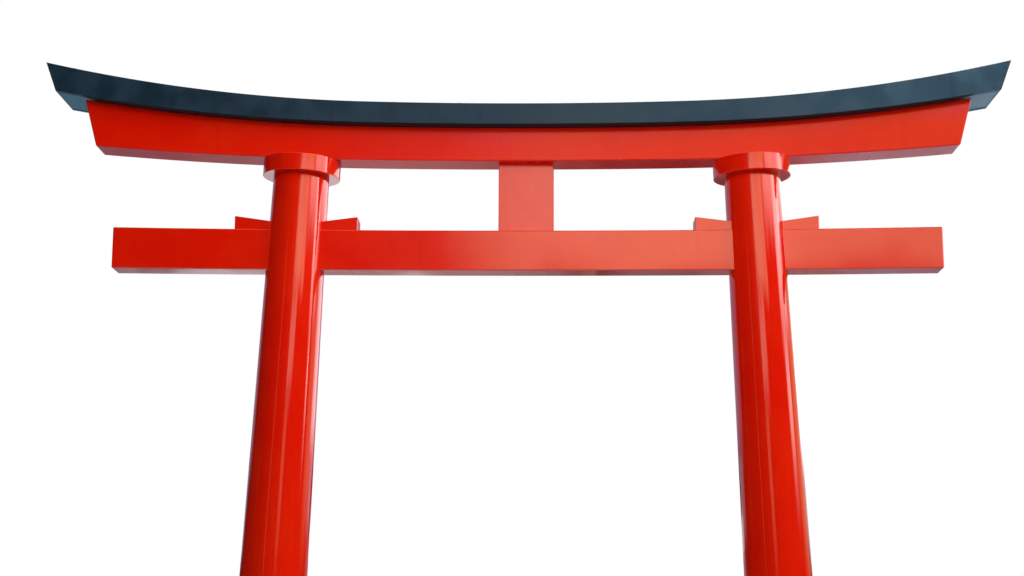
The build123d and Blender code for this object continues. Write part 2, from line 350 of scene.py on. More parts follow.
@dataclass(frozen=True)
class GlossPaint(Finish):
    """Oil paint in several coats over planed timber: level and wet-looking, with faint grain below it."""

    grain: Grain = Grain.ALONG_X
    lean: float = 0.0
    colour: Colour = (0.8, 0.008, 0.0001)
    warm: Colour = (0.86, 0.018, 0.0002)
    deep: Colour = (0.64, 0.004, 0.0001)
    chalk: Colour = (0.78, 0.12, 0.06)
    blotches_to_metre: float = 1.1
    warm_share: float = 0.6
    grain_span: Span = (0.35, 0.75)
    grain_share: float = 0.22
    run_share: float = 0.22
    chalk_share: float = 0.55
    chalk_haze: float = 0.3
    roughness: Span = (0.26, 0.36)
    coat: float = 1.0
    coat_left_on_chalk: float = 0.3
    coat_roughness: float = 0.04
    coat_index: float = 1.6
    sheen_below: float = 0.03
    wave_depth: float = 0.004
    grain_depth: float = 0.0004
    brush_depth: float = 0.00012

    def material(self) -> Material:
        """Builds the paint.

        Returns:
            The material.
        """
        material, graph, shader, place = self.start()
        along = graph.stretch(place, self.grain.value, (0, self.lean, 0))
        streaks = graph.use(self.effects.streaks, Vector=along)
        mottle = graph.use(self.effects.mottle, Vector=place, Scale=self.blotches_to_metre)
        runs = graph.use(self.effects.runs, Vector=place)["Mask"]
        settled = graph.use(self.effects.settled, Vector=place)["Mask"]
        tone = graph.blend(graph.times(mottle["Blotch"], self.warm_share), self.colour, self.warm)
        grain = graph.remap(streaks["Grain"], *self.grain_span, 0.0, self.grain_share)
        tone = graph.blend(grain, tone, self.deep)
        tone = graph.blend(graph.times(runs, self.run_share), tone, self.deep)
        tone = graph.blend(graph.times(settled, self.chalk_share), tone, self.chalk)
        rough = graph.remap(mottle["Blotch"], 0.0, 1.0, *self.roughness)
        normal = graph.bump(mottle["Wave"], self.wave_depth)
        normal = graph.bump(streaks["Grain"], self.grain_depth, normal)
        graph.fill(
            shader,
            Base_Color=tone,
            Roughness=graph.plus(rough, graph.times(settled, self.chalk_haze)),
            Coat_Weight=graph.remap(settled, 0.0, 1.0, self.coat, self.coat * self.coat_left_on_chalk),
            Coat_Roughness=self.coat_roughness,
            Coat_IOR=self.coat_index,
            Specular_IOR_Level=self.sheen_below,
            Normal=graph.bump(streaks["Brush"], self.brush_depth, normal),
        )
        return material


@dataclass(frozen=True)
class SoffitPaint(Finish):
    """Blue-grey paint on the soffit's boards, with painted shade: a near-black strip beside the lower
    lintel.
    """

    colour: Colour = linear(99, 168, 204)
    dust: Colour = linear(119, 181, 212)
    # painted shade: near-black colour of the soffit strip beside the lower lintel
    sheltered: Colour = linear(24, 34, 42)
    blotches_to_metre: float = 2.0
    dust_share: float = 0.3
    streak_span: Span = (0.4, 0.7)
    streak_share: float = 0.5
    shelter_end: float = 5.62
    painted_shade_ragged: float = 0.08
    fade_before: float = 0.06
    fade_past: float = 0.1
    grain_span: Span = (0.3, 0.7)
    roughness: Span = (0.42, 0.6)
    sheen: float = 0.12
    grain_depth: float = 0.0006

    def material(self) -> Material:
        """Builds the paint.

        Returns:
            The material.
        """
        material, graph, shader, place = self.start()
        streaks = graph.use(self.effects.streaks, Vector=graph.stretch(place, Grain.ALONG_X.value))
        mottle = graph.use(self.effects.mottle, Vector=place, Scale=self.blotches_to_metre)
        dusty = graph.remap(streaks["Grain"], *self.streak_span, 0.0, self.streak_share)
        tone = graph.blend(dusty, self.colour, self.dust)
        tone = graph.blend(graph.times(mottle["Blotch"], self.dust_share), tone, self.dust)
        # Painted shade: within a ragged distance of the middle the soffit takes the near-black colour, where
        # the lower lintel shades it; past that distance its paint shows.
        out = graph.calc("ABSOLUTE", graph.part(place, "X"))
        out = graph.plus(out, graph.times(streaks["Brush"], self.painted_shade_ragged))
        unshaded_share = graph.remap(out, self.shelter_end - self.fade_before, self.shelter_end + self.fade_past)
        graph.fill(
            shader,
            Base_Color=graph.blend(unshaded_share, self.sheltered, tone),
            Roughness=graph.remap(streaks["Grain"], *self.grain_span, *self.roughness),
            Specular_IOR_Level=self.sheen,
            Normal=graph.bump(streaks["Grain"], self.grain_depth),
        )
        return material


@dataclass(frozen=True)
class WeatheredSheet(Finish):
    """Painted sheet metal gone slate blue, with runs and dull blotches; below, painted shade along the
    middle and the soffit's paint at the ends.
    """

    colour: Colour = linear(14, 36, 50)
    dull: Colour = linear(21, 47, 64)
    stain: Colour = linear(12, 28, 38)
    chalk: Colour = linear(104, 120, 126)
    # painted shade: near-black colour of the hem's underside along the middle
    soot: Colour = linear(9, 14, 18)
    painted: Colour = linear(93, 151, 182)
    blotches_to_metre: float = 2.6
    dull_share: float = 0.55
    run_share: float = 0.6
    run_haze: float = 0.12
    flecks: Colour = (60.0, 60.0, 7.0)
    fleck_span: Span = (0.5, 0.75)
    fleck_share: float = 0.3
    chalk_share: float = 0.5
    shelter_end: float = 5.62
    fade_past: float = 0.1
    roughness: Span = (0.34, 0.5)
    sheen: float = 0.35
    under_span: Span = (-0.9, -0.5)
    under_share: float = 0.8
    under_roughness: float = 0.45
    wave_depth: float = 0.006
    fine_depth: float = 0.0003

    def material(self) -> Material:
        """Builds the sheet.

        Returns:
            The material.
        """
        material, graph, shader, place = self.start()
        mottle = graph.use(self.effects.mottle, Vector=place, Scale=self.blotches_to_metre)
        runs = graph.use(self.effects.runs, Vector=place)["Mask"]
        settled = graph.use(self.effects.settled, Vector=place)["Mask"]
        under = graph.remap(graph.upward(), *self.under_span, 1.0, 0.0)
        fine = graph.noise(graph.stretch(place, self.flecks), scale=1.0, detail=4, roughness=0.6)
        tone = graph.blend(graph.times(mottle["Blotch"], self.dull_share), self.colour, self.dull)
        tone = graph.blend(graph.times(runs, self.run_share), tone, self.stain)
        tone = graph.blend(graph.remap(fine, *self.fleck_span, 0.0, self.fleck_share), tone, self.stain)
        tone = graph.blend(graph.times(settled, self.chalk_share), tone, self.chalk)
        # Painted shade on faces that look down: near-black along the middle, and the soffit's paint past the
        # ends.
        out = graph.calc("ABSOLUTE", graph.part(place, "X"))
        out = graph.remap(out, self.shelter_end, self.shelter_end + self.fade_past)
        low = graph.blend(out, self.soot, self.painted)
        rough = graph.remap(mottle["Blotch"], 0.0, 1.0, *self.roughness)
        rough = graph.plus(rough, graph.times(runs, self.run_haze))
        graph.fill(
            shader,
            Base_Color=graph.blend(graph.times(under, self.under_share), tone, low),
            Roughness=graph.plus(rough, graph.times(under, self.under_roughness)),
            Specular_IOR_Level=self.sheen,
            Normal=graph.bump(fine, self.fine_depth, graph.bump(mottle["Wave"], self.wave_depth)),
        )
        return material


@dataclass(frozen=True)
class Lacquer(Finish):
    """Black lacquer on staves, scuffed and dusty towards the ground."""

    lean: float = 0.0
    colour: Colour = linear(17, 16, 18)
    scuff: Colour = linear(72, 66, 62)
    scuffed_below: float = 0.26
    clean_above: float = 0.62
    scuff_span: Span = (0.45, 0.68)
    blotches_to_metre: float = 5.0
    dust_share: float = 0.5
    roughness: Span = (0.22, 0.42)
    coat: float = 0.4
    coat_roughness: float = 0.12
    grain_depth: float = 0.0009

    def material(self) -> Material:
        """Builds the lacquer.

        Returns:
            The material.
        """
        material, graph, shader, place = self.start()
        along = graph.stretch(place, Grain.UPRIGHT.value, (0, self.lean, 0))
        streaks = graph.use(self.effects.streaks, Vector=along)
        mottle = graph.use(self.effects.mottle, Vector=place, Scale=self.blotches_to_metre)
        low = graph.remap(graph.part(place, "Z"), self.scuffed_below, self.clean_above, 1.0, 0.0)
        worn = graph.times(graph.remap(streaks["Grain"], *self.scuff_span), low)
        dusty = graph.times(mottle["Blotch"], graph.times(low, self.dust_share))
        graph.fill(
            shader,
            Base_Color=graph.blend(graph.calc("MAXIMUM", worn, dusty), self.colour, self.scuff),
            Roughness=graph.remap(mottle["Blotch"], 0.0, 1.0, *self.roughness),
            Coat_Weight=self.coat,
            Coat_Roughness=self.coat_roughness,
            Normal=graph.bump(streaks["Grain"], self.grain_depth),
        )
        return material


@dataclass(frozen=True)
class HoopMetal(Finish):
    """Black iron hoop, rubbed and a little rusty."""

    colour: Colour = linear(44, 43, 44)
    rust: Colour = linear(92, 58, 40)
    bare_share: float = 0.7
    blotches_to_metre: float = 14.0
    specks_to_metre: float = 160.0
    rust_span: Span = (0.48, 0.66)
    speck_span: Span = (0.3, 0.7)
    roughness: Span = (0.34, 0.6)
    speck_depth: float = 0.0004

    def material(self) -> Material:
        """Builds the metal.

        Returns:
            The material.
        """
        material, graph, shader, place = self.start()
        mottle = graph.use(self.effects.mottle, Vector=place, Scale=self.blotches_to_metre)
        speck = graph.noise(place, self.specks_to_metre, detail=3, roughness=0.6)
        rusty = graph.times(mottle["Blotch"], graph.remap(speck, *self.rust_span))
        graph.fill(
            shader,
            Base_Color=graph.blend(rusty, self.colour, self.rust),
            Metallic=self.bare_share,
            Roughness=graph.remap(speck, *self.speck_span, *self.roughness),
            Normal=graph.bump(speck, self.speck_depth),
        )
        return material


@dataclass(frozen=True)
class Granite(Finish):
    """Grey granite with a pointed face: speckled, pitted, and darker where it stays damp."""

    pale: Colour = linear(168, 164, 156)
    grey: Colour = linear(118, 115, 110)
    dark: Colour = linear(58, 56, 54)
    damp: Colour = linear(92, 92, 80)
    damp_height: float = 0.14
    damp_share: float = 0.8
    blotches_to_metre: float = 6.0
    stain_share: float = 0.4
    grains_to_metre: float = 190.0
    pale_span: Span = (0.25, 0.75)
    dark_span: Span = (0.86, 0.9)
    pits_to_metre: float = 75.0
    pit_span: Span = (0.5, 0.7)
    pit_share: float = 0.45
    rough_span: Span = (0.3, 0.7)
    roughness: Span = (0.68, 0.92)
    pit_depth: float = 0.006
    grain_depth: float = 0.0006

    def material(self) -> Material:
        """Builds the stone.

        Returns:
            The material.
        """
        material, graph, shader, place = self.start()
        grains = graph.made("TexVoronoi", {"Vector": place, "Scale": self.grains_to_metre}, "Color")
        crystal = graph.part(grains, "X")
        pits = graph.noise(place, self.pits_to_metre, detail=5, roughness=0.65)
        mottle = graph.use(self.effects.mottle, Vector=place, Scale=self.blotches_to_metre)
        low = graph.remap(graph.part(place, "Z"), 0.0, self.damp_height, self.damp_share, 0.0)
        tone = graph.blend(graph.remap(crystal, *self.pale_span), self.grey, self.pale)
        tone = graph.blend(graph.remap(crystal, *self.dark_span), tone, self.dark)
        tone = graph.blend(graph.remap(pits, *self.pit_span, 0.0, self.pit_share), tone, self.dark)
        stain = graph.calc("MAXIMUM", low, graph.times(mottle["Blotch"], self.stain_share))
        graph.fill(
            shader,
            Base_Color=graph.blend(stain, tone, self.damp),
            Roughness=graph.remap(pits, *self.rough_span, *self.roughness),
            Normal=graph.bump(crystal, self.grain_depth, graph.bump(pits, self.pit_depth)),
        )
        return material


@dataclass(frozen=True)
class Sweep:
    """Curve of the front view: a flat arc in the middle and a rounder one on each side."""

    middle_height: float
    bend_x: float
    bend_rise: float
    end_x: float
    end_rise: float

    def height(self, x: float) -> float:
        """Height of the curve.

        Args:
            x: Place along the gate.

        Returns:
            The height above the ground.
        """
        flat_radius = (self.bend_x**2 + self.bend_rise**2) / (2 * self.bend_rise)
        if abs(x) <= self.bend_x:
            return self.middle_height + flat_radius - sqrt(flat_radius**2 - x**2)
        inward_x = -self.bend_x / flat_radius
        inward_z = 1 - self.bend_rise / flat_radius
        run = self.end_x - self.bend_x
        climb = self.end_rise - self.bend_rise
        end_radius = (run**2 + climb**2) / (2 * (run * inward_x + climb * inward_z))
        centre_x = self.bend_x + end_radius * inward_x
        centre_rise = self.bend_rise + end_radius * inward_z
        return self.middle_height + centre_rise - sqrt(end_radius**2 - (abs(x) - centre_x) ** 2)


class Piece:
    """One new mesh of the gate, shaped in a bmesh and handed over at the end."""

    def __init__(self, name: str) -> None:
        """Takes the piece's name and starts an empty bmesh."""
        self.name = name
        self.bm = bmesh.new()

    def finish(
        self,
        material: Material,
        stands_for: tuple[str, ...] = (),
        sharp: float = 35.0,
    ) -> Object:
        """Makes the mesh an object that rides on the gate.

        Args:
            material: Its finish.
            stands_for: CAD nodes that it replaces.
            sharp: Angle in degrees from which an edge is shown sharp.

        Returns:
            The object.
        """
        bmesh.ops.recalc_face_normals(self.bm, faces=self.bm.faces)
        mesh = bpy.data.meshes.new(self.name)
        self.bm.to_mesh(mesh)
        self.bm.free()
        for polygon in mesh.polygons:
            polygon.use_smooth = True
        mesh.set_sharp_from_angle(angle=radians(sharp))
        mesh.materials.append(material)
        piece = bpy.data.objects.new(self.name, mesh)
        bpy.context.scene.collection.objects.link(piece)
        evened = piece.modifiers.new("evened", "WEIGHTED_NORMAL")
        evened.keep_sharp = True
        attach(piece, "root")
        if stands_for:
            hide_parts(*stands_for)
        triangles = sum(len(polygon.vertices) - 2 for polygon in mesh.polygons)
        log.info("%s: %d triangles", self.name, triangles)
        return piece


def soften(bm: BMesh, edges: list[BMEdge], width: float, segments: int = 2) -> None:
    """Rounds edges.

    Args:
        bm: The mesh.
        edges: The edges to round.
        width: Width of the rounding, in metres.
        segments: Steps of the rounding.
    """
    bmesh.ops.bevel(
        bm,
        geom=edges,
        offset=width,
        offset_type="OFFSET",
        segments=segments,
        profile=0.5,
        affect="EDGES",
        material=-1,
        clamp_overlap=True,
    )


def creases(bm: BMesh, angle: float) -> list[BMEdge]:
    """Edges where two faces meet at more than an angle in degrees."""
    limit = radians(angle)
    return [edge for edge in bm.edges if len(edge.link_faces) == 2 and edge.calc_face_angle(0) > limit]


def whole(bm: BMesh) -> Parts:
    """All the vertices, edges and faces of a mesh."""
    return bm.verts[:] + bm.edges[:] + bm.faces[:]


def chain(bm: BMesh, points: Iterable[Colour]) -> Parts:
    """Draws a row of joined points.

    Args:
        bm: The mesh.
        points: Where the points lie.

    Returns:
        The new vertices and edges.
    """
    verts = [bm.verts.new(point) for point in points]
    return verts + [bm.edges.new(pair) for pair in zip(verts, verts[1:])]


def revolve(bm: BMesh, profile: Parts, steps: int) -> None:
    """Turns a profile once round the Z axis.

    Args:
        bm: The mesh.
        profile: Its vertices and edges.
        steps: Steps of the turn.
    """
    full = 2 * pi
    bmesh.ops.spin(bm, geom=profile, cent=ORIGIN, axis=UP, angle=full, steps=steps, use_merge=True)
    bmesh.ops.remove_doubles(bm, verts=bm.verts, dist=SAME)


@dataclass(frozen=True)
class PillarAxis:
    """Where a pillar stands, how it leans and how it tapers. Distances run up its axis from the ground."""

    side: int
    spacing: float = 6.384
    lean: float = radians(2.45)
    foot_radius: float = 0.439
    head_radius: float = 0.357
    shoulder_height: float = 6.841

    def matrix(self) -> Matrix:
        """Matrix from the pillar's own upright frame to the gate's."""
        foot = Matrix.Translation((self.side * self.spacing / 2, 0, 0))
        return foot @ Matrix.Rotation(-self.side * self.lean, 4, "Y")

    def radius(self, distance: float) -> float:
        """Radius of the pillar at a distance up its axis."""
        share = distance * cos(self.lean) / self.shoulder_height
        return self.foot_radius + (self.head_radius - self.foot_radius) * share


@dataclass
class Footing:
    """Stone, staved sleeve and hoop at the foot of one pillar."""

    axis: PillarAxis
    name: str
    stone_radius: float = 0.65
    stone_height: float = 0.26
    skirt_height: float = 0.08
    skirt_inset: float = 0.003
    skirt_rounding: float = 0.02
    foot_chamfer: float = 0.012
    foot_inset: float = 0.004
    seat_radius: float = 0.49
    seat_rounding: float = 0.02
    shoulder_start: float = 0.005
    shoulder_steps: int = 8
    shoulder_bulge: float = 0.0105
    shoulder_curve: float = 0.92
    stone_steps: int = 96
    dent_depth: float = 0.005
    dents_to_metre: float = 9.0
    dents_above: float = 0.01
    dents_inset: float = 0.1
    seat_inset: float = 0.001
    sleeve_height: float = 0.9
    sleeve_thickness: float = 0.028
    clearance: float = 0.0003
    staves: int = 28
    stave_steps: int = 4
    stave_spare: float = 0.05
    stave_gap: float = 0.0006
    stave_chamfer: float = 0.003
    hoop_height: float = 0.07
    hoop_thickness: float = 0.006
    hoop_drop: float = 0.06
    hoop_rounding: float = 0.0015
    hoop_steps: int = 128
    rivet_radius: float = 0.008
    rivet_seat: float = 0.001
    rivet_flatness: float = 0.5
    rivet_segments: int = 12
    rivet_rings: int = 8
    rivet_places: tuple[float, ...] = (-0.03, 0.0, 0.03)

    def build(self, granite: Granite, lacquer: Lacquer, metal: HoopMetal) -> None:
        """Builds and dresses the three pieces.

        Args:
            granite: Finish of the stone.
            lacquer: Finish of the staves.
            metal: Finish of the hoop.
        """
        self.stone(granite.material())
        self.sleeve(lacquer.material())
        self.hoop(metal.material())

    def stone(self, material: Material) -> Object:
        """Turns the domed stone, with an uneven, pointed surface.

        Args:
            material: Its finish.

        Returns:
            The stone.
        """
        piece = Piece(f"stone_{self.name}")
        bm = piece.bm
        skirt = self.stone_radius - self.skirt_inset
        slope = self.stone_radius - self.seat_radius
        rise = self.stone_height - self.skirt_height
        profile = [
            (0.0, 0.0),
            (self.stone_radius - self.foot_chamfer, 0.0),
            (self.stone_radius - self.foot_inset, self.foot_chamfer),
            (skirt, self.skirt_height - self.skirt_rounding),
        ]
        for i in range(self.shoulder_steps + 1):
            share = i / self.shoulder_steps
            bulge = self.shoulder_bulge * sin(pi * share)
            climb = (rise - self.foot_inset) * share**self.shoulder_curve
            low = self.skirt_height - self.shoulder_start
            profile.append((skirt - slope * share + bulge, low + climb + bulge))
        profile += [(self.seat_radius - self.seat_rounding, self.stone_height), (0.0, self.stone_height)]
        revolve(bm, chain(bm, ((x, 0, z) for x, z in profile)), self.stone_steps)
        for vert in bm.verts:
            radius = hypot(vert.co.x, vert.co.y)
            side_face = self.dents_above < vert.co.z < self.stone_height - self.seat_inset
            if side_face and radius > self.dents_inset:
                shift = Vector((self.axis.side * 7, 0, 0))
                dent = 0.5 + 0.5 * noise.noise(vert.co * self.dents_to_metre + shift)
                vert.co -= Vector((vert.co.x / radius, vert.co.y / radius, 0)) * dent * self.dent_depth
        bmesh.ops.translate(bm, verts=bm.verts, vec=(self.axis.side * self.axis.spacing / 2, 0, 0))
        return piece.finish(material, (f"base_stone_{self.name}",))

    def sleeve(self, material: Material) -> Object:
        """Sets the staves round the pillar and cuts them level on the stone.

        Args:
            material: Their finish.

        Returns:
            The staves.
        """
        piece = Piece(f"staves_{self.name}")
        bm = piece.bm
        start = self.stone_height / cos(self.axis.lean)
        steps = self.stave_steps
        rings = []
        for distance in (start - self.stave_spare, start + self.sleeve_height):
            inner = self.axis.radius(distance) + self.clearance
            for radius in (inner, inner + self.sleeve_thickness):
                half = pi / self.staves - self.stave_gap / radius
                turns = [-half + 2 * half * i / steps for i in range(steps + 1)]
                rings.append([bm.verts.new((radius * cos(t), radius * sin(t), distance)) for t in turns])
        low_in, low_out, high_in, high_out = rings
        for one, two in ((low_in, low_out), (low_out, high_out), (high_out, high_in), (high_in, low_in)):
            for i in range(steps):
                bm.faces.new((one[i], one[i + 1], two[i + 1], two[i]))
        for i in (0, steps):
            bm.faces.new((low_in[i], low_out[i], high_out[i], high_in[i]))
        bmesh.ops.recalc_face_normals(bm, faces=bm.faces)
        soften(bm, creases(bm, SHARP_CREASE), self.stave_chamfer)
        others = self.staves - 1
        turn = 2 * pi * others / self.staves
        bmesh.ops.spin(
            bm, geom=whole(bm), cent=ORIGIN, axis=UP, angle=turn, steps=others, use_duplicate=True
        )
        bmesh.ops.transform(bm, matrix=self.axis.matrix(), verts=bm.verts)
        level = Vector((0, 0, self.stone_height))
        cut = bmesh.ops.bisect_plane(
            bm, geom=whole(bm), plane_co=level, plane_no=(0, 0, -1), clear_outer=True
        )
        rim = [item for item in cut["geom_cut"] if isinstance(item, BMEdge)]
        bmesh.ops.holes_fill(bm, edges=rim, sides=0)
        return piece.finish(material, (f"root_wrap_{self.name}",))

    def hoop(self, material: Material) -> Object:
        """Bends the hoop, with a row of three rivets at the back.

        Args:
            material: Its finish.

        Returns:
            The hoop.
        """
        piece = Piece(f"hoop_{self.name}")
        bm = piece.bm
        top = self.stone_height / cos(self.axis.lean) + self.sleeve_height - self.hoop_drop
        bottom = top - self.hoop_height
        inner = self.axis.radius(bottom) + self.sleeve_thickness + 2 * self.clearance
        outer = inner + self.hoop_thickness
        corners = ((inner, 0), (outer, 0), (outer, self.hoop_height), (inner, self.hoop_height))
        section = bm.faces.new([bm.verts.new((x, 0, bottom + z)) for x, z in corners])
        soften(bm, section.edges[:], self.hoop_rounding)
        bmesh.ops.delete(bm, geom=bm.faces[:], context="FACES_ONLY")
        revolve(bm, bm.verts[:] + bm.edges[:], self.hoop_steps)
        back = Matrix.Rotation(pi / 2, 4, "Z")
        flat = Matrix.Diagonal((1, 1, self.rivet_flatness, 1))
        for place in self.rivet_places:
            middle = Vector((outer - self.rivet_seat, place, bottom + self.hoop_height / 2))
            lie = Matrix.Translation(middle) @ Matrix.Rotation(pi / 2, 4, "Y") @ flat
            bmesh.ops.create_uvsphere(
                bm,
                u_segments=self.rivet_segments,
                v_segments=self.rivet_rings,
                radius=self.rivet_radius,
                matrix=back @ lie,
            )
        bmesh.ops.transform(bm, matrix=self.axis.matrix(), verts=bm.verts)
        return piece.finish(material, (f"root_band_{self.name}",), sharp=TURNED_SHARP)


@dataclass
class SheetCover:
    """Sheet metal over the upper lintel, in three lengths that lock together."""

    hem: Sweep
    edge: Sweep
    half_depth: float = 0.444
    ridge_rise: float = 0.09
    hem_width: float = 0.09
    seam_x: float = 0.85
    plate: float = 0.004
    skin_drop: float = 0.0016
    skin: float = 0.0018
    lock_width: float = 0.024
    lock_drop: float = 0.0002
    lock_skin: float = 0.0022
    lock_places: tuple[float, ...] = (0.85, 5.79)
    fold_radius: float = 0.003
    step: float = 0.09
    spare: float = 0.2

    def section(self, x: float, level: str, drop: float) -> float:
        """Height of one fold line of the sheet.

        Args:
            x: Place along the gate.
            level: Which fold: hem, edge or ridge.
            drop: How far inside the CAD surface it lies.

        Returns:
            The height above the ground.
        """
        if level == "hem":
            return self.hem.height(x) + drop
        lift = self.ridge_rise if level == "ridge" else 0.0
        return self.edge.height(x) + lift - drop

    def strip(self, bm: BMesh, start: float, end: float, drop: float) -> None:
        """Folds one length of sheet over the lintel, still without thickness.

        Args:
            bm: Mesh that takes it.
            start: Where the length starts along the gate.
            end: Where it ends.
            drop: How far inside the CAD surface it lies.
        """
        y = self.half_depth - drop
        hem_y = self.half_depth - self.hem_width
        half = ((-hem_y, "hem"), (-y, "hem"), (-y, "edge"))
        folds = (*half, (0.0, "ridge"), *((-fold_y, level) for fold_y, level in reversed(half)))
        line = chain(bm, ((start, fold_y, i) for i, (fold_y, _) in enumerate(folds)))
        pull = bmesh.ops.extrude_edge_only(bm, edges=line[len(folds) :])
        moved = [item for item in pull["geom"] if isinstance(item, BMVert)]
        bmesh.ops.translate(bm, verts=moved, vec=(end - start, 0, 0))
        lengthwise = [edge for edge in bm.edges if abs(edge.verts[0].co.x - edge.verts[1].co.x) > NEAR]
        cuts = max(2, round((end - start) / self.step)) - 1
        bmesh.ops.subdivide_edges(bm, edges=lengthwise, cuts=cuts, use_grid_fill=True)
        for vert in bm.verts:
            vert.co.z = self.section(vert.co.x, folds[round(vert.co.z)][1], drop)
        bm.normal_update()
        bent = creases(bm, SHEET_CREASE)
        bent = [edge for edge in bent if abs(edge.verts[0].co.y - edge.verts[1].co.y) < NEAR]
        soften(bm, bent, self.fold_radius)
        bmesh.ops.recalc_face_normals(bm, faces=bm.faces)

    def cut(self, bm: BMesh) -> None:
        """Cuts a mesh at both slanted ends, one plate inside the CAD surface.

        Args:
            bm: The mesh.
        """
        for side in (-1, 1):
            foot = Vector((side * self.hem.end_x, 0, self.hem.height(self.hem.end_x)))
            head = Vector((side * self.edge.end_x, 0, self.edge.height(self.edge.end_x)))
            slant = head - foot
            outward = Vector((side * slant.z, 0, -side * slant.x)).normalized()
            inset = foot - outward * self.plate
            bmesh.ops.bisect_plane(bm, geom=whole(bm), plane_co=inset, plane_no=outward, clear_outer=True)

    def build(self, sheet: WeatheredSheet) -> None:
        """Builds the three lengths and the locks on them.

        Args:
            sheet: Finish of the metal.
        """
        material = sheet.material()
        reach = self.edge.end_x + self.spare
        ends = (-reach, -self.seam_x, self.seam_x, reach)
        for name, start, end in zip(("left", "middle", "right"), ends, ends[1:]):
            piece = Piece(f"sheet_{name}")
            self.strip(piece.bm, start, end, self.skin_drop)
            self.cut(piece.bm)
            bmesh.ops.solidify(piece.bm, geom=piece.bm.faces[:], thickness=self.skin)
            piece.finish(material, (f"cover_sheet_{name}",))
        half = self.lock_width / 2
        for place in self.lock_places:
            for side, name in SIDES:
                piece = Piece(f"lock_{name}_{round(place * 100)}")
                self.strip(piece.bm, side * place - half, side * place + half, self.lock_drop)
                bmesh.ops.solidify(piece.bm, geom=piece.bm.faces[:], thickness=self.lock_skin)
                piece.finish(material)


@dataclass
class CapitalRing:
    """Round block between one pillar's head and the lower lintel, with its rims rounded over."""

    axis: PillarAxis
    name: str
    radius: float = 0.495
    height: float = 0.216
    rim: float = 0.006
    rim_steps: int = 3
    steps: int = 144

    def build(self, paint: GlossPaint) -> Object:
        """Turns the block and sets it on the pillar's shoulder.

        Args:
            paint: Its finish.

        Returns:
            The block.
        """
        piece = Piece(f"ring_{self.name}")
        bm = piece.bm
        foot = self.axis.shoulder_height / cos(self.axis.lean)
        head = foot + self.height
        corners = ((0, 0, foot), (self.radius, 0, foot), (self.radius, 0, head), (0, 0, head))
        revolve(bm, chain(bm, corners), self.steps)
        soften(bm, creases(bm, SHARP_CREASE), self.rim, self.rim_steps)
        bmesh.ops.transform(bm, matrix=self.axis.matrix(), verts=bm.verts)
        node = f"capital_ring_{self.name}"
        return piece.finish(paint.material(), (node,), sharp=TURNED_SHARP)


@dataclass
class Gate:
    """The whole gate: CAD nodes that keep their shape, and the new pieces."""

    effects: Effects
    beam_haze: float = 0.06
    strut_haze: float = 0.17
    pillar_haze: float = 0.04
    lintel_haze: float = 0.1
    lintel_coat: float = 0.26
    hem: Sweep = Sweep(7.4398, 2.08, 0.026, 6.0265, 0.448)
    edge_height: float = 0.272
    edge_gain: float = 0.083
    end_flare: float = 0.14

    @staticmethod
    def dress(material: Material, *nodes: str) -> None:
        """Gives CAD nodes their finish.

        Args:
            material: The finish.
            nodes: Names of the nodes.
        """
        for node in nodes:
            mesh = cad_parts[node].data
            mesh.materials.clear()
            mesh.materials.append(material)
            log.info("%s: dressed", node)

    def paint(self, grain: Grain, haze: float, side: int = 0) -> Material:
        """Gloss paint for timber.

        Args:
            grain: Way in which the timber runs.
            haze: Roughness of the top coat.
            side: Side towards which it leans out at its foot, or 0.

        Returns:
            The material.
        """
        name = f"vermilion_{grain.name.lower()}_{side}"
        return GlossPaint(name, self.effects, grain, side * PillarAxis.lean, coat_roughness=haze).material()

    def timber(self) -> None:
        """Dresses the nodes that keep their shape."""
        wedges = [f"wedge_{name}_{end}" for _, name in SIDES for end in ("outer", "inner")]
        self.dress(self.paint(Grain.ALONG_X, self.beam_haze), "tie_beam", *wedges)
        self.dress(self.paint(Grain.UPRIGHT, self.strut_haze), "centre_strut")
        for side, name in SIDES:
            self.dress(self.paint(Grain.UPRIGHT, self.pillar_haze, side), f"pillar_{name}")
        duller = GlossPaint(
            "vermilion_lintel", self.effects, coat=self.lintel_coat, coat_roughness=self.lintel_haze
        )
        self.dress(duller.material(), "lower_lintel")
        self.dress(SoffitPaint("soffit", self.effects).material(), "upper_lintel")
        plates = WeatheredSheet("end_plate_sheet", self.effects).material()
        self.dress(plates, "end_plate_left", "end_plate_right")

    def cover(self) -> None:
        """Builds the sheet metal, whose edge climbs more than its hem by the lintel's gain in height."""
        hem = self.hem
        head_x = hem.end_x + self.end_flare
        bend_rise = hem.bend_rise * (1 + self.edge_gain / hem.end_rise)
        rise = hem.height(head_x) - hem.middle_height + self.edge_gain
        edge = Sweep(hem.middle_height + self.edge_height, hem.bend_x, bend_rise, head_x, rise)
        SheetCover(hem, edge).build(WeatheredSheet("cover_sheet", self.effects))

    def build(self) -> None:
        """Dresses the kept nodes and builds the rest."""
        self.timber()
        self.cover()
        for side, name in SIDES:
            axis = PillarAxis(side)
            CapitalRing(axis, name).build(GlossPaint(f"vermilion_ring_{name}", self.effects))
            Footing(axis, name).build(
                Granite(f"granite_{name}", self.effects),
                Lacquer(f"lacquer_{name}", self.effects, side * PillarAxis.lean),
                HoopMetal(f"hoop_iron_{name}", self.effects),
            )


@dataclass(frozen=True)
class SoftBox:
    """One bright field of the studio tent, seen only in reflections.

    Azimuths are in degrees from the front towards the right, heights and fades in metres.
    """

    middle: float
    half_width: float
    low: float
    high: float
    strength: float
    edge: float = 3.0
    fade: float = 1.0
    tint: Colour = (1.0, 1.0, 1.0)


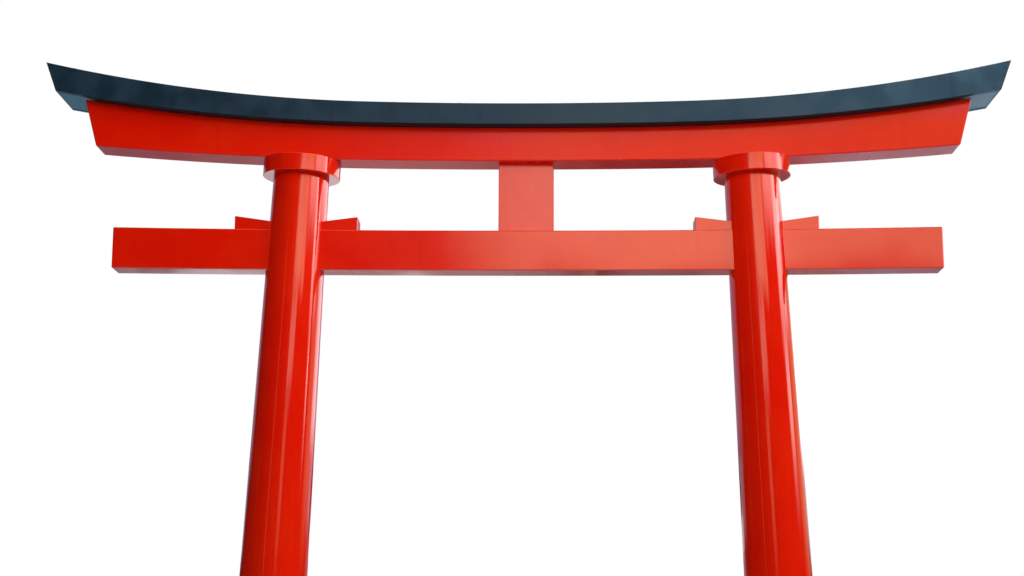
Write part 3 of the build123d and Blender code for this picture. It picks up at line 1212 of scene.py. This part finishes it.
@dataclass
class Studio:
    """Floor, light and camera. None of it is part of the gate."""

    focal: float = 64.755
    camera_place: Colour = (0.3127, -23.0, 0.95)
    pitch: float = radians(10.951)
    yaw: float = radians(-1.222)
    roll: float = radians(0.247)
    floor_colour: Colour = (0.54, 0.54, 0.535)
    floor_glow: float = 0.3
    floor_bounce: Colour = (0.28, 0.265, 0.25)
    floor_reach: float = 90.0
    floor_plain: float = 9.0
    floor_white: float = 40.0
    ambient_left: float = 0.05
    ambient_right: float = 0.28
    film_width: float = 36.0
    sight: float = 300.0
    tent_sides: int = 96
    tent_radius: float = 16.0
    tent_height: float = 17.0
    tent_dark: float = 0.004
    roof_light: float = 1.2
    glint: float = 0.42
    glint_tint: Colour = (1.0, 0.8, 0.5)
    glints_to_degree: float = 0.35
    glints_to_metre: float = 0.12
    glint_span: Span = (0.56, 0.74)
    cloud: Span = (0.9, 1.14)
    cloud_span: Span = (0.35, 0.65)
    clouds_to_metre: float = 0.24
    ragged_turn: float = 8.0
    ragged_height: float = 1.6
    swings_to_metre: float = 0.5
    soft_boxes: tuple[SoftBox, ...] = (
        SoftBox(16.25, 20.75, 8.5, 11.2, 2.2, edge=3.0, fade=0.5, tint=(1.0, 0.98, 0.62)),
        SoftBox(17.25, 19.75, 10.8, 12.4, 2.1, edge=4.0, fade=0.5, tint=(1.0, 0.96, 0.2)),
        SoftBox(16.25, 20.75, 12.0, 14.2, 3.2, edge=3.0, fade=0.5, tint=(0.3, 0.88, 1.28)),
        SoftBox(37, 23, 12.0, 14.2, 6.0, edge=8.0, fade=0.5, tint=(0.36, 0.87, 1.27)),
        SoftBox(46, 20, 12.0, 14.2, 10.0, edge=9.0, fade=0.5, tint=(0.4, 0.98, 1.45)),
        SoftBox(30, 36, 14.2, 30, 1.7, edge=8.0, fade=0.5, tint=(0.7, 0.95, 1.15)),
        SoftBox(5, 9.5, 6.5, 8.5, 1.9, edge=3.0, fade=0.8, tint=(1.0, 0.96, 0.74)),
        SoftBox(1, 5, 3.0, 6.5, 0.9, edge=2.0, fade=1.5, tint=(1.0, 0.9, 0.5)),
        SoftBox(-38, 1.2, 2.0, 9.0, 0.8, edge=0.8, fade=2.0, tint=(1.0, 0.85, 0.5)),
        SoftBox(62.5, 21.5, 10.0, 30, 3.2, edge=4.0, fade=0.8, tint=(1.0, 0.97, 0.86)),
        SoftBox(90, 15, 8.0, 30, 6.0, edge=3.0, fade=1.5, tint=(1.0, 0.98, 0.94)),
        SoftBox(87, 7, 5.0, 8.0, 4.0, edge=3.0, fade=1.5, tint=(1.0, 0.97, 0.86)),
        SoftBox(114, 22, 9.8, 30, 3.6, edge=5.0, fade=1.5, tint=(1.0, 0.97, 0.94)),
        SoftBox(117, 17, 3.0, 9.8, 0.95, edge=5.0, fade=1.5, tint=(1.0, 0.72, 0.35)),
        SoftBox(145, 18, 4.8, 30, 2.8, edge=6.0, fade=0.8, tint=(1.0, 0.96, 1.0)),
        SoftBox(172, 10, 4.8, 30, 0.35, edge=4.0, fade=0.8, tint=(0.9, 0.8, 1.15)),
        SoftBox(-150, 30, 4.8, 30, 0.5, edge=8.0, fade=0.8, tint=(0.85, 0.82, 1.15)),
        SoftBox(145, 13, 2.9, 4.8, 0.92, edge=4.0, fade=0.3, tint=(0.4, 0.88, 1.16)),
        SoftBox(-148, 18, 2.9, 4.8, 0.6, edge=4.0, fade=0.3, tint=(0.5, 0.85, 1.05)),
        SoftBox(160, 14, -5, 2.9, 0.28, edge=4.0, fade=0.3, tint=(0.95, 0.8, 0.9)),
        SoftBox(-166, 16, -5, 2.6, 0.42, edge=6.0, fade=0.2, tint=(0.95, 0.8, 0.84)),
        SoftBox(-166, 16, 2.7, 3.5, 1.25, edge=6.0, fade=0.12, tint=(0.95, 0.9, 0.92)),
    )

    def build(self) -> None:
        """Sets up the whole studio."""
        self.camera()
        self.world()
        self.floor()
        self.lamps()
        self.tent()
        self.roof()
        bpy.context.scene.view_settings.view_transform = "Standard"

    def camera(self) -> None:
        """Places the camera at the photograph's viewing angle."""
        forward = Vector((sin(self.yaw) * cos(self.pitch), cos(self.yaw) * cos(self.pitch), sin(self.pitch)))
        across = Vector((cos(self.yaw), -sin(self.yaw), 0))
        upward = across.cross(forward)
        right = across * cos(self.roll) + upward * sin(self.roll)
        up = upward * cos(self.roll) - across * sin(self.roll)
        data = bpy.data.cameras.new("camera")
        data.lens = self.focal
        data.sensor_width = self.film_width
        data.clip_end = self.sight
        camera = bpy.data.objects.new("camera", data)
        rows = zip(right, up, -forward, self.camera_place)
        camera.matrix_world = Matrix([list(row) for row in rows] + [[0, 0, 0, 1]])
        bpy.context.scene.collection.objects.link(camera)
        bpy.context.scene.camera = camera

    @staticmethod
    def seen(graph: Graph) -> Socket:
        """One for rays from the camera, or by way of gloss or glass, and nought for diffuse light.

        Args:
            graph: Graph to build in.

        Returns:
            The mask.
        """
        path = graph.add("LightPath")
        seen = graph.calc("MAXIMUM", path.outputs["Is Camera Ray"], path.outputs["Is Glossy Ray"])
        return graph.calc("MAXIMUM", seen, path.outputs["Is Transmission Ray"])

    def world(self) -> None:
        """White to the camera and in reflections, and softer as light."""
        world = bpy.data.worlds.new("studio")
        graph = bare_graph(world)
        across = graph.part(graph.made("TexCoord", {}, "Generated"), "X")
        fill = graph.remap(across, -1.0, 1.0, self.ambient_left, self.ambient_right)
        strength = graph.calc("MAXIMUM", self.seen(graph), fill)
        backdrop = graph.made("Background", {"Color": (1.0, 1.0, 1.0), "Strength": strength})
        graph.fill(graph.add("OutputWorld"), Surface=backdrop)
        bpy.context.scene.world = world

    def stand(self, name: str, bm: BMesh, material: Material) -> Object:
        """Stands a piece of the studio in the scene.

        Args:
            name: Its name.
            bm: Its mesh, which is freed.
            material: Its material.

        Returns:
            The object.
        """
        mesh = bpy.data.meshes.new(name)
        bm.to_mesh(mesh)
        bm.free()
        mesh.materials.append(material)
        prop = bpy.data.objects.new(name, mesh)
        bpy.context.scene.collection.objects.link(prop)
        return prop

    def floor(self) -> None:
        """Lays a plain pale floor that runs out to white, and sends up less light than it shows."""
        bm = bmesh.new()
        bmesh.ops.create_grid(bm, x_segments=2, y_segments=2, size=self.floor_reach)
        material = bpy.data.materials.new("floor")
        graph = bare_graph(material)
        seen = self.seen(graph)
        tone = graph.blend(seen, self.floor_bounce, self.floor_colour)
        ground = graph.made("BsdfDiffuse", {"Color": tone})
        glow = graph.made("Emission", {"Strength": graph.times(seen, self.floor_glow)})
        pale = graph.made("AddShader", {0: ground, 1: glow})
        away = graph.made("VectorMath", {0: graph.place()}, "Value", operation="LENGTH")
        far = graph.times(graph.remap(away, self.floor_plain, self.floor_white), seen)
        mix = graph.made("MixShader", {0: far, 1: pale, 2: graph.made("Emission", {})})
        graph.fill(graph.add("OutputMaterial"), Surface=mix)
        self.stand("floor", bm, material)

    @staticmethod
    def lamp(name: str, kind: str, place: Colour, target: Colour, **settings: object) -> None:
        """Hangs one lamp, turned to a point, and seen neither by the camera nor in reflections.

        Args:
            name: Name of the lamp.
            kind: AREA for a flat soft lamp near the gate, or SUN for an even one far away.
            place: Where it hangs, or any point in its direction.
            target: The point that it is turned to.
            settings: Properties of its light, in metres, watts and radians.
        """
        data = bpy.data.lights.new(name, kind)
        for label, value in settings.items():
            setattr(data, label, value)
        lamp = bpy.data.objects.new(name, data)
        turn = (Vector(target) - Vector(place)).to_track_quat("-Z", "Y").to_matrix().to_4x4()
        lamp.matrix_world = Matrix.Translation(place) @ turn
        lamp.visible_camera = False
        lamp.visible_glossy = False
        bpy.context.scene.collection.objects.link(lamp)

    def lamps(self) -> None:
        """Hangs a key lamp at the right, two fills, and even light from above and behind."""
        middle = (0, 0, 5)
        broad = radians(60)
        flat = {"kind": "AREA", "shape": "RECTANGLE"}
        self.lamp("key", place=(42, -20, 24), target=middle, size=22, size_y=18, energy=11500, **flat)
        self.lamp("front", place=(0.8, -14, 10), target=middle, size=9, size_y=6, energy=820, **flat)
        self.lamp("inner", place=(-0.5, -10, 9), target=(0.4, 0, 3), size=4, size_y=6, energy=150, **flat)
        self.lamp("top", "SUN", (0, 2, 26), middle, angle=broad, energy=1.1)
        self.lamp("behind", "SUN", (9, 24, 19), middle, angle=broad, energy=0.9)

    def window(self) -> NodeTree:
        """Builds the group that lays one soft-edged field on the tent.

        Returns:
            The group.
        """
        names = ("Azimuth", "Height", "Middle", "Half width", "Edge", "Low", "High", "Fade", "Strength")
        graph, given, out = open_group("Soft box", dict.fromkeys(names, "Float"), ("Light",))
        away = graph.calc("PINGPONG", graph.calc("SUBTRACT", given["Azimuth"], given["Middle"]), 180.0)
        across = self.soft_step(graph, given["Half width"], away, given["Edge"])
        above = self.soft_step(graph, given["Height"], given["Low"], given["Fade"])
        below = self.soft_step(graph, given["High"], given["Height"], given["Fade"])
        light = graph.times(graph.times(across, above), below)
        graph.feed(out["Light"], graph.times(light, given["Strength"]))
        return graph.tree

    @staticmethod
    def soft_step(graph: Graph, value: Socket, limit: Socket, width: Socket) -> Socket:
        """Rise from 0 to 1 as a value passes a limit, over a width to each side of it."""
        past = graph.calc("DIVIDE", graph.calc("SUBTRACT", value, limit), width)
        return graph.remap(past, -1.0, 1.0)

    def swing(self, graph: Graph, place: Socket, reach: float) -> Socket:
        """Slow noise that swings over a reach, half of it to each side of nought."""
        slow = graph.noise(place, self.swings_to_metre, detail=2, roughness=0.5)
        return graph.times(graph.calc("SUBTRACT", slow, 0.5), reach)

    def tent(self) -> None:
        """Stands a dark round tent with bright fields round the gate, seen only in reflections."""
        bm = bmesh.new()
        bmesh.ops.create_circle(bm, cap_ends=False, radius=self.tent_radius, segments=self.tent_sides)
        pull = bmesh.ops.extrude_edge_only(bm, edges=bm.edges[:])
        top = [item for item in pull["geom"] if isinstance(item, BMVert)]
        bmesh.ops.translate(bm, verts=top, vec=(0, 0, self.tent_height))
        material = bpy.data.materials.new("tent")
        graph = bare_graph(material)
        place = graph.place()
        turn = graph.calc("ARCTAN2", graph.part(place, "X"), graph.times(graph.part(place, "Y"), -1.0))
        ragged = self.swing(graph, graph.stretch(place, (1, 1, 0.3)), self.ragged_turn)
        azimuth = graph.plus(graph.times(turn, 180 / pi), ragged)
        height = graph.plus(graph.part(place, "Z"), self.swing(graph, place, self.ragged_height))
        around = graph.times(azimuth, self.glints_to_degree)
        across = graph.made("CombineXYZ", {0: around, 1: graph.times(height, self.glints_to_metre)})
        glints = graph.noise(across, scale=1.0, detail=4, roughness=0.7)
        glints = graph.remap(glints, *self.glint_span, 0.0, self.glint)
        light = graph.vector("MULTIPLY", glints, self.glint_tint)
        window = self.window()
        for box in self.soft_boxes:
            sizes = {item.name.capitalize(): getattr(box, item.name) for item in fields(box)}
            tint = sizes.pop("Tint")
            share = graph.use(window, Azimuth=azimuth, Height=height, **sizes)["Light"]
            light = graph.vector("MAXIMUM", light, graph.vector("MULTIPLY", share, tint))
        flattened = graph.stretch(place, (1, 1, 2.2))
        cloud = graph.noise(flattened, self.clouds_to_metre, detail=3, roughness=0.5)
        light = graph.vector("MULTIPLY", light, graph.remap(cloud, *self.cloud_span, *self.cloud))
        light = graph.vector("MAXIMUM", light, (self.tent_dark,) * 3)
        graph.fill(graph.add("OutputMaterial"), Surface=graph.made("Emission", {"Color": light}))
        self.hide_from_light(self.stand("tent", bm, material))

    def roof(self) -> None:
        """Closes the tent with one even soft box, seen only in reflections."""
        bm = bmesh.new()
        bmesh.ops.create_circle(bm, cap_ends=True, radius=self.tent_radius, segments=self.tent_sides)
        bmesh.ops.translate(bm, verts=bm.verts, vec=(0, 0, self.tent_height))
        material = bpy.data.materials.new("roof")
        graph = bare_graph(material)
        light = graph.made("Emission", {"Strength": self.roof_light})
        graph.fill(graph.add("OutputMaterial"), Surface=light)
        self.hide_from_light(self.stand("roof", bm, material))

    @staticmethod
    def hide_from_light(prop: Object) -> None:
        """Leaves a piece of the studio visible to reflections alone.

        Args:
            prop: The piece.
        """
        prop.visible_camera = False
        prop.visible_diffuse = False
        prop.visible_shadow = False
        prop.visible_transmission = False


def main() -> None:
    """Builds the studio and the gate."""
    logging.basicConfig(level=logging.INFO, format="%(message)s")
    Studio().build()
    Gate(Effects()).build()


if __name__ == "__main__":
    main()
